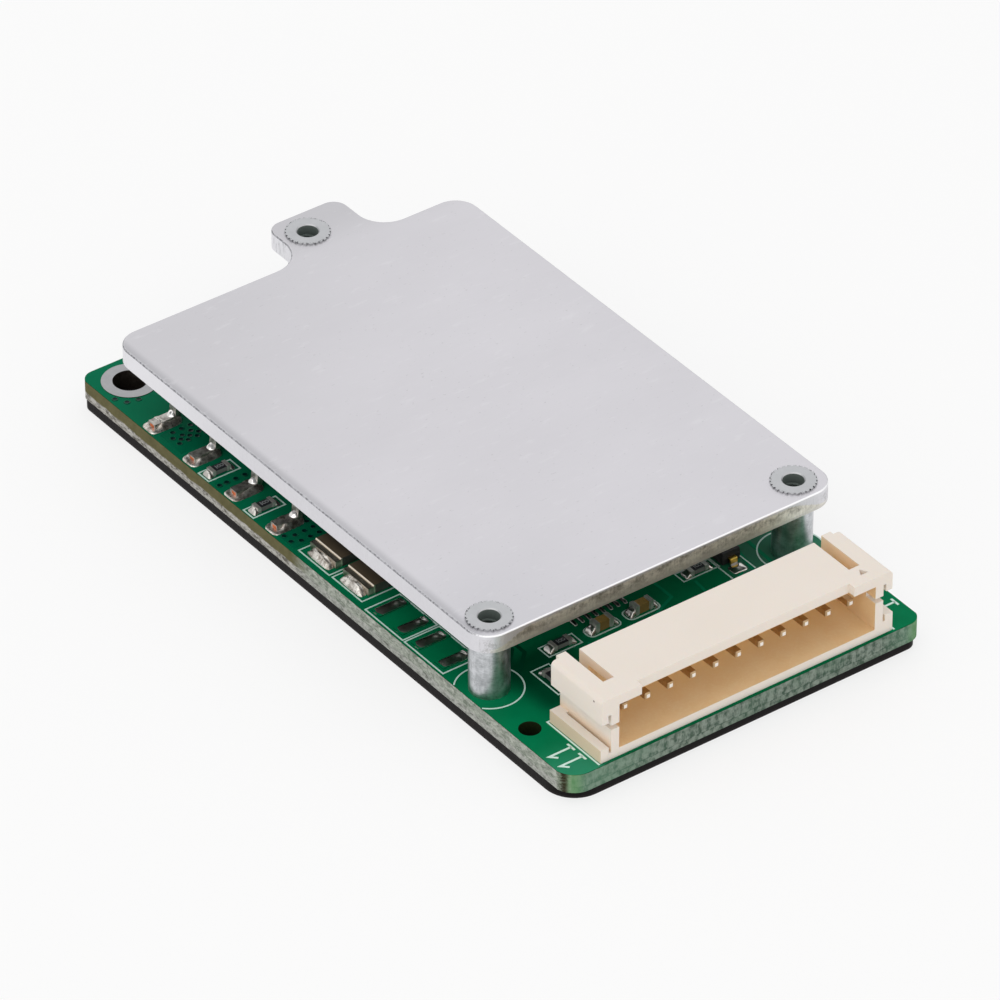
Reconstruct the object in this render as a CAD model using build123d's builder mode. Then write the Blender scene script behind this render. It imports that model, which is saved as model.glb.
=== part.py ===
from build123d import *
import os

# Battery management board in millimetres.
# X runs across the board, Y from the connector edge at the front to the tab at the back, Z up.
# The origin is the middle of the underside.

# Backing sheet and circuit board. The board's length follows from what lies along it.
board_width = 31.5
board_thickness = 1.6
board_corner_radius = 1.1
board_front_left_radius = 1.8
score_depth = 0.45
score_width = 0.05
backing_thickness = 0.9
backing_margin = 0.1
backing_front_margin = 0.3
backing_corner_radius = 1.0
backing_front_left_radius = 2.5

# Heat spreader, the tabbed aluminium plate over the transistors
spreader_left_overhang = 0.2
spreader_right_margin = 0.1
spreader_front_gap = 1.25
spreader_back_overhang = 1.2
spreader_thickness = 1.5
spreader_corner_radius = 1.9
spreader_edge_radius = 0.15
tab_left = 1.35
tab_width = 6.6
tab_reach = 5.15
tab_overhang = 0.25
tab_corner_radius = 1.2
tab_left_neck_radius = 2.6
tab_right_neck_radius = 2.4

# Power transistors in TO-263 cases, and the pads that carry their heat to the spreader
mosfet_length = 9.2
mosfet_width = 10.0
mosfet_height = 4.45
mosfet_draft = 5.0
mosfet_lead_width = 0.8
mosfet_lead_thickness = 0.5
mosfet_lead_spacing = 5.08
mosfet_lead_exit = 2.4
mosfet_lead_run = 2.2
mosfet_lead_foot = 2.05
mosfet_lead_reach = 5.0
mosfet_lead_bury = 0.8
mosfet_lead_lean = 0.25
mosfet_lead_bend = 0.4
mosfet_stub_length = 0.8
mosfet_tip_setback = 0.6
drain_tab_thickness = 1.3
drain_tab_width = 8.6
drain_tab_reach = 1.2
drain_tab_cover = 8.0
mosfet_gap = 0.35
thermal_pad_thickness = 0.25
thermal_pad_inset = 0.6

# Knurled standoffs pressed into the spreader above and into the board below, threaded M2
standoff_diameter = 3.0
standoff_neck_diameter = 2.5
standoff_spigot_diameter = 2.3
standoff_spigot_gap = 0.2
standoff_bore = 1.6
standoff_lead_in = 0.08
standoff_head_diameter = 3.45
standoff_head_height = 0.12
standoff_fit = 0.02
knurl_count = 26
knurl_width = 0.15
knurl_depth = 0.1
standoff_inset = 2.15
standoff_right_inset = 2.45
rear_standoff_inset = (2.2, 2.4)

# Holes and wire lands on the board
terminal_inset = 2.7
terminal_bore = 2.6
terminal_land_diameter = 4.3
wire_hole_inset = (1.4, 6.4)
wire_hole_diameter = 1.65
land_height = 0.05
wire_land_length = 2.7
wire_land_width = 1.05
wire_land_inset = 1.9
wire_land_start = 4.1
wire_land_steps = (2.8, 2.1, 2.7)

# Side-entry connector, 2.0 mm pitch
pin_count = 11
pin_pitch = 2.0
pin_size = 0.5
pin_height = 3.03
pin_tip_setback = 1.05
pin_tip_chamfer = 0.12
pin_clearance = 0.02
pin_foot_reach = 1.9
pin_bend = 0.4
pin_drop_gap = 0.45
connector_setback = 0.25
connector_middle = 0.15
housing_depth = 5.9
housing_height = 5.3
housing_side_margin = 2.05
housing_wall = 0.7
housing_floor = 0.7
housing_roof = 0.8
housing_back_wall = 1.1
wing_reach = 0.8
wing_height_left = 2.05
wing_height_right = 1.6
wing_back_reach = 0.35
wing_edge_radius = 0.35
wing_step_width = 0.7
wing_step_depth = 0.35
slot_width = 0.95
slot_front_margin = 1.9
slot_back_height = 2.5
roof_relief_margin = 1.95
roof_relief_depth = 0.6
flange_reach = 0.9
flange_height_left = 1.1
flange_height_right = 1.6
flange_groove_width = 0.2
flange_groove_depth = 0.5
flange_groove_margin = 0.95
guide_notch_height = 0.4
guide_notch_drop = 0.3
guide_notch_depth = 1.1
hook_groove_width = 0.25
hook_groove_height = 0.65
gate_mark_size = 0.7
gate_mark_depth = 0.35
gate_mark_inset = 1.1
gate_mark_corner = 60.0
mouth_chamfer = 0.12

# Current shunts, chips, diode and controller. Spots are counted from the middle of the board
# and from the pin feet, and those of the edge resistors from the left edge and front transistor.
shunt_length = 6.4
shunt_width = 3.1
shunt_height = 0.75
shunt_cap_length = 0.45
shunt_crown = 0.12
shunt_inset = 1.35
shunt_land_gap = 1.425
shunt_gap = 0.9
shunt_mosfet_gap = 1.0
chip_length = 1.6
chip_width = 0.8
chip_cap_length = 0.3
chip_cap_step = 0.04
resistor_height = 0.45
capacitor_height = 0.8
edge_resistor_spots = ((1.5, 5.65), (1.55, 0.05))
across_resistor_spots = ((-6.9, 4.3), (6.25, 5.55))
along_resistor_middle = -9.65
along_resistor_gap = 0.65
capacitor_spots = ((-3.25, 4.25), (0.25, 4.2))
diode_spot = (8.77, 6.1)
diode_length = 2.7
diode_width = 1.6
diode_height = 1.1
diode_draft = 6.0
diode_standoff = 0.1
diode_lead_width = 0.6
diode_lead_thickness = 0.14
diode_lead_exit = 0.6
diode_lead_reach = 0.5
diode_lead_bend = 0.1
controller_spot = (-2.35, 9.3)
controller_length = 5.0
controller_width = 4.4
controller_height = 0.9
controller_standoff = 0.1
controller_draft = 8.0
controller_leads = 8
controller_pitch = 0.65
controller_lead_width = 0.24
controller_lead_thickness = 0.13
controller_lead_reach = 1.0
controller_lead_bend = 0.12
controller_mark_radius = 0.3
controller_mark_depth = 0.05

# Levels that follow from the sizes above
board_bottom = backing_thickness
board_top = board_bottom + board_thickness
standoff_height = mosfet_height + thermal_pad_thickness
spreader_bottom = board_top + standoff_height
spreader_top = spreader_bottom + spreader_thickness
housing_top = board_top + housing_height
roof_under = housing_top - housing_roof

# Lines along the board, each counted from the front edge and following the one before it
feet_line = connector_setback + housing_depth + pin_drop_gap + pin_foot_reach
spreader_line = feet_line + spreader_front_gap
standoff_line = spreader_line + standoff_inset
land_lines = [standoff_line + wire_land_start]
for step in wire_land_steps:
    land_lines.append(land_lines[-1] + step)
front_shunt_line = land_lines[-1] + (wire_land_width + shunt_width) / 2 + shunt_land_gap
rear_shunt_line = front_shunt_line + shunt_width + shunt_gap
front_mosfet_line = rear_shunt_line + (shunt_width + mosfet_width) / 2 + shunt_mosfet_gap
rear_mosfet_line = front_mosfet_line + mosfet_width + mosfet_gap
spreader_end_line = rear_mosfet_line + mosfet_width / 2 + spreader_back_overhang
board_length = spreader_end_line + tab_reach - tab_overhang

# The same lines and the edges, in the board's frame
board_left = -board_width / 2
board_front = -board_length / 2
board_back = board_length / 2
feet_end = board_front + feet_line
spreader_front = board_front + spreader_line
spreader_back = board_front + spreader_end_line
spreader_left = board_left - spreader_left_overhang
spreader_right = -board_left - spreader_right_margin
tab_back = spreader_back + tab_reach
wire_land_rows = [board_front + line for line in land_lines]
shunt_rows = (board_front + rear_shunt_line, board_front + front_shunt_line)
mosfet_rows = (board_front + rear_mosfet_line, board_front + front_mosfet_line)
standoff_spots = (
    (spreader_left + standoff_inset, board_front + standoff_line),
    (spreader_right - standoff_right_inset, board_front + standoff_line),
    (tab_left + rear_standoff_inset[0], tab_back - rear_standoff_inset[1]),
)
terminal_spot = (board_left + terminal_inset, board_back - terminal_inset)
wire_hole_spot = (board_left + wire_hole_inset[0], board_front + wire_hole_inset[1])
housing_front = board_front + connector_setback
housing_back = housing_front + housing_depth
housing_half = (pin_count - 1) * pin_pitch / 2 + housing_side_margin
mouth_half = housing_half - housing_wall

os.makedirs("parts", exist_ok=True)


def outline(width, front, back, radius, front_left_radius):
    """Rectangle whose front left corner is rounder than the other three."""
    with BuildSketch(mode=Mode.PRIVATE) as shape:
        with Locations((0, front)):
            Rectangle(width, back - front, align=(Align.CENTER, Align.MIN))
        corners = shape.vertices().sort_by(Axis.Y)
        front_left = corners[:2].sort_by(Axis.X)[0]
        others = [corner for corner in corners if corner != front_left]
        fillet(others, radius)
        fillet(shape.vertices().sort_by(lambda v: v.X + v.Y)[0], front_left_radius)
    return shape.sketch


def bent_strip(plane, points, bend, thickness, width):
    """Flat strip of metal that follows a bent line drawn on the given plane."""
    with BuildPart() as strip:
        with BuildSketch(plane):
            with BuildLine():
                FilletPolyline(*points, radius=bend)
            trace(line_width=thickness)
        extrude(amount=width / 2, both=True)
    return strip.part


def moulded_case(x, y, level, length, width, below, above, draft):
    """Moulded plastic case, widest at its parting level and drafted above and below it."""
    with BuildPart() as case:
        with BuildSketch(Plane((x, y, level))):
            Rectangle(length, width)
        extrude(amount=above, taper=draft)
        with BuildSketch(Plane((x, y, level))):
            Rectangle(length, width)
        extrude(amount=-below, taper=draft)
    return case.part


def chip(spot, turn, height):
    """Ceramic chip with its two end caps, lying flat on the board."""
    with BuildPart() as piece:
        with BuildSketch(Plane((spot[0], spot[1], board_top + chip_cap_step))):
            Rectangle(chip_length, chip_width - 2 * chip_cap_step, rotation=turn)
        extrude(amount=height - 2 * chip_cap_step)
        cap_shift = (chip_length - chip_cap_length) / 2
        with BuildSketch(Plane((spot[0], spot[1], board_top))):
            with PolarLocations(cap_shift, 2, start_angle=turn):
                Rectangle(chip_cap_length, chip_width)
        extrude(amount=height)
    return piece.part


# Backing sheet under the whole board
with BuildPart() as backing_sheet:
    with BuildSketch():
        add(
            outline(
                board_width - 2 * backing_margin,
                board_front + backing_front_margin,
                board_back - backing_margin,
                backing_corner_radius,
                backing_front_left_radius,
            )
        )
    extrude(amount=backing_thickness)
backing_sheet.part.label = "backing_sheet"
export_step(backing_sheet.part, "parts/backing_sheet.step")


# Circuit board, scored along both long edges, with its raised solder lands
with BuildPart() as circuit_board:
    with BuildSketch(Plane.XY.offset(board_bottom)):
        add(
            outline(
                board_width,
                board_front,
                board_back,
                board_corner_radius,
                board_front_left_radius,
            )
        )
        with Locations(*standoff_spots):
            Circle(standoff_spigot_diameter / 2 + standoff_fit, mode=Mode.SUBTRACT)
        with Locations(terminal_spot):
            Circle(terminal_bore / 2, mode=Mode.SUBTRACT)
        with Locations(wire_hole_spot):
            Circle(wire_hole_diameter / 2, mode=Mode.SUBTRACT)
    extrude(amount=board_thickness)
    with BuildSketch(Plane.XZ):
        for edge, inward in ((board_left, 1), (-board_left, -1)):
            for level, towards in ((board_top, -1), (board_bottom, 1)):
                Polygon(
                    (edge, level),
                    (edge + inward * score_width, level),
                    (edge, level + towards * score_depth),
                    align=None,
                )
    extrude(amount=board_length / 2, both=True, mode=Mode.SUBTRACT)
    with BuildSketch(Plane.XY.offset(board_top)):
        with Locations(terminal_spot):
            Circle(terminal_land_diameter / 2)
            Circle(terminal_bore / 2, mode=Mode.SUBTRACT)
        with Locations(*[(board_left + wire_land_inset, row) for row in wire_land_rows]):
            Rectangle(wire_land_length, wire_land_width)
    extrude(amount=land_height)
circuit_board.part.label = "circuit_board"
export_step(circuit_board.part, "parts/circuit_board.step")


# Heat spreader, a punched plate with a tab that reaches just past the back of the board
with BuildPart() as heat_spreader:
    with BuildSketch(Plane.XY.offset(spreader_bottom)) as plate:
        with Locations((spreader_left, spreader_front)):
            Rectangle(
                spreader_right - spreader_left,
                spreader_back - spreader_front,
                align=(Align.MIN, Align.MIN),
            )
        with Locations((tab_left, spreader_back)):
            Rectangle(tab_width, tab_reach, align=(Align.MIN, Align.MIN))
        fillet(plate.vertices().group_by(Axis.Y)[-1], tab_corner_radius)
        fillet(plate.vertices().group_by(Axis.Y)[0], spreader_corner_radius)
        line = (spreader_back - 0.01, spreader_back + 0.01)
        on_back = plate.vertices().filter_by_position(Axis.Y, *line).sort_by(Axis.X)
        fillet([on_back[0], on_back[-1]], spreader_corner_radius)
        on_back = plate.vertices().filter_by_position(Axis.Y, *line).sort_by(Axis.X)
        fillet(on_back[1], tab_left_neck_radius)
        on_back = plate.vertices().filter_by_position(Axis.Y, *line).sort_by(Axis.X)
        fillet(on_back[-2], tab_right_neck_radius)
    extrude(amount=spreader_thickness)
    fillet(heat_spreader.faces().sort_by(Axis.Z)[-1].outer_wire().edges(), spreader_edge_radius)
    with BuildSketch(Plane.XY.offset(spreader_bottom)):
        with Locations(*standoff_spots):
            Circle(standoff_neck_diameter / 2 + standoff_fit)
    extrude(amount=spreader_thickness, mode=Mode.SUBTRACT)
heat_spreader.part.label = "heat_spreader"
export_step(heat_spreader.part, "parts/heat_spreader.step")


def standoff(spot):
    """Threaded standoff with a spigot in the board and a knurled head over the plate."""
    upright = Plane((spot[0], spot[1], 0), x_dir=(1, 0, 0), z_dir=(0, -1, 0))
    head_top = spreader_top + standoff_head_height
    bore = standoff_bore / 2
    spigot_end = board_bottom + standoff_spigot_gap
    with BuildPart() as post:
        with BuildSketch(upright):
            with BuildLine():
                Polyline(
                    (bore, spigot_end),
                    (standoff_spigot_diameter / 2, spigot_end),
                    (standoff_spigot_diameter / 2, board_top),
                    (standoff_diameter / 2, board_top),
                    (standoff_diameter / 2, spreader_bottom),
                    (standoff_neck_diameter / 2, spreader_bottom),
                    (standoff_neck_diameter / 2, spreader_top),
                    (standoff_head_diameter / 2, spreader_top),
                    (standoff_head_diameter / 2, head_top),
                    (bore + standoff_lead_in, head_top),
                    (bore, head_top - standoff_lead_in),
                    close=True,
                )
            make_face()
        revolve(axis=Axis((spot[0], spot[1], 0), (0, 0, 1)))
        with BuildSketch(Plane((spot[0], spot[1], spreader_top))):
            with PolarLocations(standoff_head_diameter / 2, knurl_count):
                Rectangle(2 * knurl_depth, knurl_width)
        extrude(amount=standoff_head_height, mode=Mode.SUBTRACT)
    return post.part


standoff_names = ("standoff_front_left", "standoff_front_right", "standoff_rear")
for standoff_name, spot in zip(standoff_names, standoff_spots):
    piece = standoff(spot)
    piece.label = standoff_name
    export_step(piece, f"parts/{standoff_name}.step")


# Power transistors: two gull-wing leads, a drain tab with its cut stub, the case, the pad on top
mosfet_tip = board_left + mosfet_tip_setback
mosfet_case_left = mosfet_tip + mosfet_lead_reach
mosfet_case_middle = mosfet_case_left + mosfet_length / 2
mosfet_case_right = mosfet_case_left + mosfet_length
exit_level = board_top + mosfet_lead_exit
foot_level = board_top + mosfet_lead_thickness / 2
foot_heel = mosfet_tip + mosfet_lead_foot
lead_points = (
    (mosfet_case_left + mosfet_lead_bury, exit_level),
    (foot_heel + mosfet_lead_lean, exit_level),
    (foot_heel, foot_level),
    (mosfet_tip, foot_level),
)
for number, row in enumerate(mosfet_rows, start=1):
    leads = {}
    for lead_name, side in (("gate_lead", 1), ("source_lead", -1)):
        lead_row = row + side * mosfet_lead_spacing / 2
        leads[lead_name] = bent_strip(
            Plane((0, lead_row, 0), x_dir=(1, 0, 0), z_dir=(0, -1, 0)),
            lead_points,
            mosfet_lead_bend,
            mosfet_lead_thickness,
            mosfet_lead_width,
        )
    with BuildPart() as drain_tab:
        tab_start = mosfet_case_right - drain_tab_cover
        with BuildSketch(Plane((tab_start, row, board_top))):
            Rectangle(
                drain_tab_cover + drain_tab_reach,
                drain_tab_width,
                align=(Align.MIN, Align.CENTER),
            )
        extrude(amount=drain_tab_thickness)
        stub_end = tab_start + mosfet_lead_thickness
        stub_start = mosfet_case_left - mosfet_stub_length
        with BuildSketch(Plane((stub_start, row, exit_level))):
            Rectangle(stub_end - stub_start, mosfet_lead_width, align=(Align.MIN, Align.CENTER))
        extrude(amount=mosfet_lead_thickness / 2, both=True)
        with BuildSketch(Plane((tab_start, row, board_top))):
            Rectangle(
                mosfet_lead_thickness,
                mosfet_lead_width,
                align=(Align.MIN, Align.CENTER),
            )
        extrude(amount=mosfet_lead_exit)
    with BuildPart() as mosfet_case:
        add(
            moulded_case(
                mosfet_case_middle,
                row,
                exit_level,
                mosfet_length,
                mosfet_width,
                mosfet_lead_exit,
                mosfet_height - mosfet_lead_exit,
                mosfet_draft,
            )
        )
        add(leads["gate_lead"], mode=Mode.SUBTRACT)
        add(leads["source_lead"], mode=Mode.SUBTRACT)
        add(drain_tab.part, mode=Mode.SUBTRACT)
    with BuildPart() as thermal_pad:
        with BuildSketch(Plane((mosfet_case_middle, row, board_top + mosfet_height))):
            Rectangle(mosfet_length - 2 * thermal_pad_inset, mosfet_width - 2 * thermal_pad_inset)
        extrude(amount=thermal_pad_thickness)
    pieces = (
        (f"mosfet_{number}_case", mosfet_case.part),
        (f"mosfet_{number}_gate_lead", leads["gate_lead"]),
        (f"mosfet_{number}_source_lead", leads["source_lead"]),
        (f"mosfet_{number}_drain_tab", drain_tab.part),
        (f"thermal_pad_{number}", thermal_pad.part),
    )
    for piece_name, piece in pieces:
        piece.label = piece_name
        export_step(piece, f"parts/{piece_name}.step")


# Housing of the side-entry connector
wall_half = housing_half
wing_width = housing_wall + wing_reach
wings = ((-1, wing_height_left), (1, wing_height_right))
pin_level = board_top + pin_height
first_column = connector_middle - (pin_count - 1) * pin_pitch / 2
pin_columns = [first_column + index * pin_pitch for index in range(pin_count)]
with BuildPart() as connector_housing:
    with BuildSketch(Plane((connector_middle, housing_front, board_top))):
        Rectangle(2 * wall_half, housing_depth, align=(Align.CENTER, Align.MIN))
    extrude(amount=housing_height)

    # Wings along both sides, level with the roof and stepped at their back ends
    wing_length = housing_depth + wing_back_reach
    for side, wing_height in wings:
        wing_start = connector_middle + side * mouth_half
        with BuildSketch(Plane((wing_start, housing_front, housing_top))):
            with Locations((side * wing_width / 2, 0)):
                Rectangle(wing_width, wing_length, align=(Align.CENTER, Align.MIN))
            with Locations((side * (wing_width - wing_step_width / 2), wing_length)):
                Rectangle(
                    wing_step_width,
                    wing_step_depth,
                    align=(Align.CENTER, Align.MAX),
                    mode=Mode.SUBTRACT,
                )
        extrude(amount=-wing_height)
    roof_line = (housing_top - 0.01, housing_top + 0.01)
    ridges = connector_housing.edges().filter_by(Axis.Y).filter_by_position(Axis.Z, *roof_line)
    ridges = ridges.sort_by(Axis.X)
    fillet([ridges[0], ridges[-1]], wing_edge_radius)

    # Base flanges, each with a groove against the side wall
    for side, flange_height in ((-1, flange_height_left), (1, flange_height_right)):
        wall_side = connector_middle + side * wall_half
        with BuildSketch(Plane((wall_side, housing_front, board_top))):
            with Locations((side * flange_reach / 2, 0)):
                Rectangle(flange_reach, housing_depth, align=(Align.CENTER, Align.MIN))
        extrude(amount=flange_height)
        with BuildSketch(Plane((wall_side, housing_front, board_top + flange_height))):
            with Locations((side * flange_groove_width / 2, 0)):
                Rectangle(
                    flange_groove_width,
                    housing_depth - flange_groove_margin,
                    align=(Align.CENTER, Align.MIN),
                )
        extrude(amount=-flange_groove_depth, mode=Mode.SUBTRACT)

    # Socket that the plug goes into, with the relief along the lip of its roof
    with BuildSketch(Plane((connector_middle, housing_front, board_top + housing_floor))):
        Rectangle(
            2 * mouth_half,
            housing_depth - housing_back_wall,
            align=(Align.CENTER, Align.MIN),
        )
    extrude(amount=housing_height - housing_floor - housing_roof, mode=Mode.SUBTRACT)
    with BuildSketch(Plane((connector_middle, housing_front, roof_under))):
        Rectangle(
            2 * (mouth_half - roof_relief_margin),
            roof_relief_depth,
            align=(Align.CENTER, Align.MIN),
        )
    extrude(amount=housing_roof, mode=Mode.SUBTRACT)

    # Slots beside the roof, open to the top and the back
    slot_length = housing_depth - slot_front_margin
    with BuildSketch(Plane((connector_middle, housing_back, board_top + slot_back_height))):
        for side in (-1, 1):
            with Locations((side * (mouth_half - slot_width / 2), 0)):
                Rectangle(slot_width, slot_length, align=(Align.CENTER, Align.MAX))
    extrude(amount=housing_height - slot_back_height, mode=Mode.SUBTRACT)

    # Guide notches in the side walls, and the grooves behind the hooked wing ends
    for side, wing_height in wings:
        wing_bottom = housing_top - wing_height
        wall_inside = connector_middle + side * mouth_half
        with BuildSketch(Plane((wall_inside, housing_front, wing_bottom - guide_notch_drop))):
            with Locations((side * housing_wall / 2, 0)):
                Rectangle(housing_wall, guide_notch_depth, align=(Align.CENTER, Align.MIN))
        extrude(amount=-guide_notch_height, mode=Mode.SUBTRACT)
        wall_side = connector_middle + side * wall_half
        with BuildSketch(Plane((wall_side, housing_front, wing_bottom))):
            with Locations((side * hook_groove_width / 2, 0)):
                Rectangle(hook_groove_width, guide_notch_depth, align=(Align.CENTER, Align.MIN))
        extrude(amount=hook_groove_height, mode=Mode.SUBTRACT)

    # Gate mark in the right shoulder, and the holes for the pins
    gate_mark_middle = connector_middle + mouth_half - gate_mark_size / 2
    with BuildSketch(Plane((gate_mark_middle, housing_front, housing_top))):
        with Locations((0, gate_mark_inset)):
            Triangle(a=gate_mark_size, B=gate_mark_corner, C=gate_mark_corner)
    extrude(amount=-gate_mark_depth, mode=Mode.SUBTRACT)
    with BuildSketch(Plane((connector_middle, housing_back, pin_level), x_dir=(1, 0, 0), z_dir=(0, -1, 0))):
        with GridLocations(pin_pitch, 0, pin_count, 1):
            Rectangle(pin_size + 2 * pin_clearance, pin_size + 2 * pin_clearance)
    extrude(amount=housing_back_wall, mode=Mode.SUBTRACT)
connector_housing.part.label = "connector_housing"
export_step(connector_housing.part, "parts/connector_housing.step")


# Square pins, each bent down behind the housing to a foot on the board
pin_tip = housing_front + pin_tip_setback
pin_drop = housing_back + pin_drop_gap
for number, column in enumerate(pin_columns, start=1):
    with BuildPart() as connector_pin:
        with BuildSketch(Plane.YZ.offset(column)):
            with BuildLine():
                FilletPolyline(
                    (pin_tip, pin_level),
                    (pin_drop, pin_level),
                    (pin_drop, board_top + pin_size / 2),
                    (pin_drop + pin_foot_reach, board_top + pin_size / 2),
                    radius=pin_bend,
                )
            trace(line_width=pin_size)
        extrude(amount=pin_size / 2, both=True)
        tip_face = connector_pin.faces().sort_by(Axis.Y)[0]
        chamfer(tip_face.edges(), pin_tip_chamfer)
    pin_name = f"connector_pin_{number:02d}"
    connector_pin.part.label = pin_name
    export_step(connector_pin.part, f"parts/{pin_name}.step")


# Current shunts, a raised body between two flat end caps
for number, row in enumerate(shunt_rows, start=1):
    with BuildPart() as shunt:
        shunt_start = board_left + shunt_inset
        with BuildSketch(Plane((shunt_start, row, board_top))):
            Rectangle(shunt_length, shunt_width, align=(Align.MIN, Align.CENTER))
        extrude(amount=shunt_height - shunt_crown)
        with BuildSketch(Plane((shunt_start + shunt_cap_length, row, board_top))):
            Rectangle(
                shunt_length - 2 * shunt_cap_length,
                shunt_width,
                align=(Align.MIN, Align.CENTER),
            )
        extrude(amount=shunt_height)
        crown_edges = shunt.faces().sort_by(Axis.Z)[-1].edges().filter_by(Axis.Y)
        fillet(crown_edges, shunt_crown * 0.9)
    shunt.part.label = f"shunt_{number}"
    export_step(shunt.part, f"parts/shunt_{number}.step")


# Chip resistors and capacitors
across_spots = [(board_left + x, mosfet_rows[1] + y) for x, y in edge_resistor_spots]
across_spots += [(x, feet_end + y) for x, y in across_resistor_spots]
along_spot = (along_resistor_middle, feet_end + along_resistor_gap + chip_length / 2)
chips = [("chip_resistor", spot, 0, resistor_height) for spot in across_spots]
chips.append(("chip_resistor", along_spot, 90, resistor_height))
chips += [("chip_capacitor", (x, feet_end + y), 0, capacitor_height) for x, y in capacitor_spots]
chip_totals = {}
for chip_kind, spot, turn, height in chips:
    chip_totals[chip_kind] = chip_totals.get(chip_kind, 0) + 1
    chip_name = f"{chip_kind}_{chip_totals[chip_kind]}"
    piece = chip(spot, turn, height)
    piece.label = chip_name
    export_step(piece, f"parts/{chip_name}.step")


# Diode with its two leads along the board
diode_x, diode_y = diode_spot[0], feet_end + diode_spot[1]
diode_exit = board_top + diode_lead_exit
diode_foot = board_top + diode_lead_thickness / 2
with BuildPart() as diode_leads:
    for side in (-1, 1):
        diode_face = diode_y + side * diode_length / 2
        diode_knee = diode_face + side * 2.5 * diode_lead_bend
        add(
            bent_strip(
                Plane.YZ.offset(diode_x),
                (
                    (diode_face - side * diode_lead_reach, diode_exit),
                    (diode_knee, diode_exit),
                    (diode_knee, diode_foot),
                    (diode_face + side * diode_lead_reach, diode_foot),
                ),
                diode_lead_bend,
                diode_lead_thickness,
                diode_lead_width,
            )
        )
with BuildPart() as diode_body:
    add(
        moulded_case(
            diode_x,
            diode_y,
            diode_exit,
            diode_width,
            diode_length,
            diode_lead_exit - diode_standoff,
            diode_height - diode_lead_exit,
            diode_draft,
        )
    )
    add(diode_leads.part, mode=Mode.SUBTRACT)
diode_leads.part.label = "diode_leads"
export_step(diode_leads.part, "parts/diode_leads.step")
diode_body.part.label = "diode_body"
export_step(diode_body.part, "parts/diode_body.step")


# Controller chip with a row of leads along its front and back
controller_x, controller_y = controller_spot[0], feet_end + controller_spot[1]
controller_exit = board_top + controller_standoff + controller_height / 2
controller_foot = board_top + controller_lead_thickness / 2
with BuildPart() as controller_leads_group:
    for side in (-1, 1):
        face = controller_y + side * controller_width / 2
        knee = face + side * controller_lead_reach * 0.35
        for index in range(controller_leads):
            column = controller_x + (index - (controller_leads - 1) / 2) * controller_pitch
            add(
                bent_strip(
                    Plane.YZ.offset(column),
                    (
                        (face - side * controller_lead_reach / 2, controller_exit),
                        (knee, controller_exit),
                        (knee, controller_foot),
                        (face + side * controller_lead_reach, controller_foot),
                    ),
                    controller_lead_bend,
                    controller_lead_thickness,
                    controller_lead_width,
                )
            )
with BuildPart() as controller_body:
    add(
        moulded_case(
            controller_x,
            controller_y,
            controller_exit,
            controller_length,
            controller_width,
            controller_height / 2,
            controller_height / 2,
            controller_draft,
        )
    )
    mark_level = board_top + controller_standoff + controller_height
    mark_inset = 3 * controller_mark_radius
    with BuildSketch(Plane((controller_x, controller_y, mark_level))):
        with Locations((mark_inset - controller_length / 2, mark_inset - controller_width / 2)):
            Circle(controller_mark_radius)
    extrude(amount=-controller_mark_depth, mode=Mode.SUBTRACT)
    add(controller_leads_group.part, mode=Mode.SUBTRACT)
controller_leads_group.part.label = "controller_leads"
export_step(controller_leads_group.part, "parts/controller_leads.step")
controller_body.part.label = "controller_body"
export_step(controller_body.part, "parts/controller_body.step")
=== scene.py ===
import math

import bmesh
import bpy
from mathutils import Matrix, Vector, noise


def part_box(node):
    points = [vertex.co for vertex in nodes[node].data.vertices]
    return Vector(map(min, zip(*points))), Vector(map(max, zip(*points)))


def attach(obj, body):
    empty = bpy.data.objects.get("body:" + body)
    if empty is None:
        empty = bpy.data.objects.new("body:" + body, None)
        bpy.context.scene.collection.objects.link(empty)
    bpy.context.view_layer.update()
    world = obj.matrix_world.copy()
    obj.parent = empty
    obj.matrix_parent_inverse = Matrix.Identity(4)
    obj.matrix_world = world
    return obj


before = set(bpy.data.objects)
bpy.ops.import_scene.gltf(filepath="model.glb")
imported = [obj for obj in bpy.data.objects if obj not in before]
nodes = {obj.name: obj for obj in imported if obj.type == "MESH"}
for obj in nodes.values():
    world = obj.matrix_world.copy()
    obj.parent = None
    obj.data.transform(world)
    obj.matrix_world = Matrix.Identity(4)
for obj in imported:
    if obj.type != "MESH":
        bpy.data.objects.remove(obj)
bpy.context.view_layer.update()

# Places and sizes are in millimetres, and each new mesh is scaled to metres once it is made.
mm = 0.001
board_top = 2.5
sunk = 0.01  # how deep thin print and copper reach into what carries them
print_thick = 0.02
copper_thick = 0.018

standoffs = ("front_left", "front_right", "rear")
power_feet = ((1, "gate"), (1, "source"), (2, "gate"), (2, "source"))
fixing_hole = (-13.05, 27.35)
wire_hole = (-14.35, -23.65)
wire_pad_rows = (-6.45, -9.15, -11.25, -14.05)
pin_count = 11
pin_pitch = 2.0
first_pin_x = -9.85
controller_legs = 8
diode_x = 8.77
diode_foot_rows = (-17.55, -13.35)


def box_mm(node):
    """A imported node's lowest and highest corners, in millimetres."""
    return [Vector(corner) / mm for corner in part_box(node)]


# Shader maths


def shade(red, green, blue):
    """A colour as the eye reads it, 0 to 255 a channel, turned into light."""
    light = []
    for channel in (red, green, blue):
        value = channel / 255
        light.append(value / 12.92 if value <= 0.04045 else ((value + 0.055) / 1.055) ** 2.4)
    return (*light, 1.0)


def grey(value):
    return (value, value, value, 1.0)


def blend(share, low, high):
    """A plain number: low where share is 0 and high where it is 1."""
    return low + (high - low) * share


def operator(operation):
    """A Python operator and its reflected form, each of which adds one Math node."""

    def straight(self, other):
        return self.maths(operation, self, other)

    def reflected(self, other):
        return self.maths(operation, other, self)

    return straight, reflected


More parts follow.
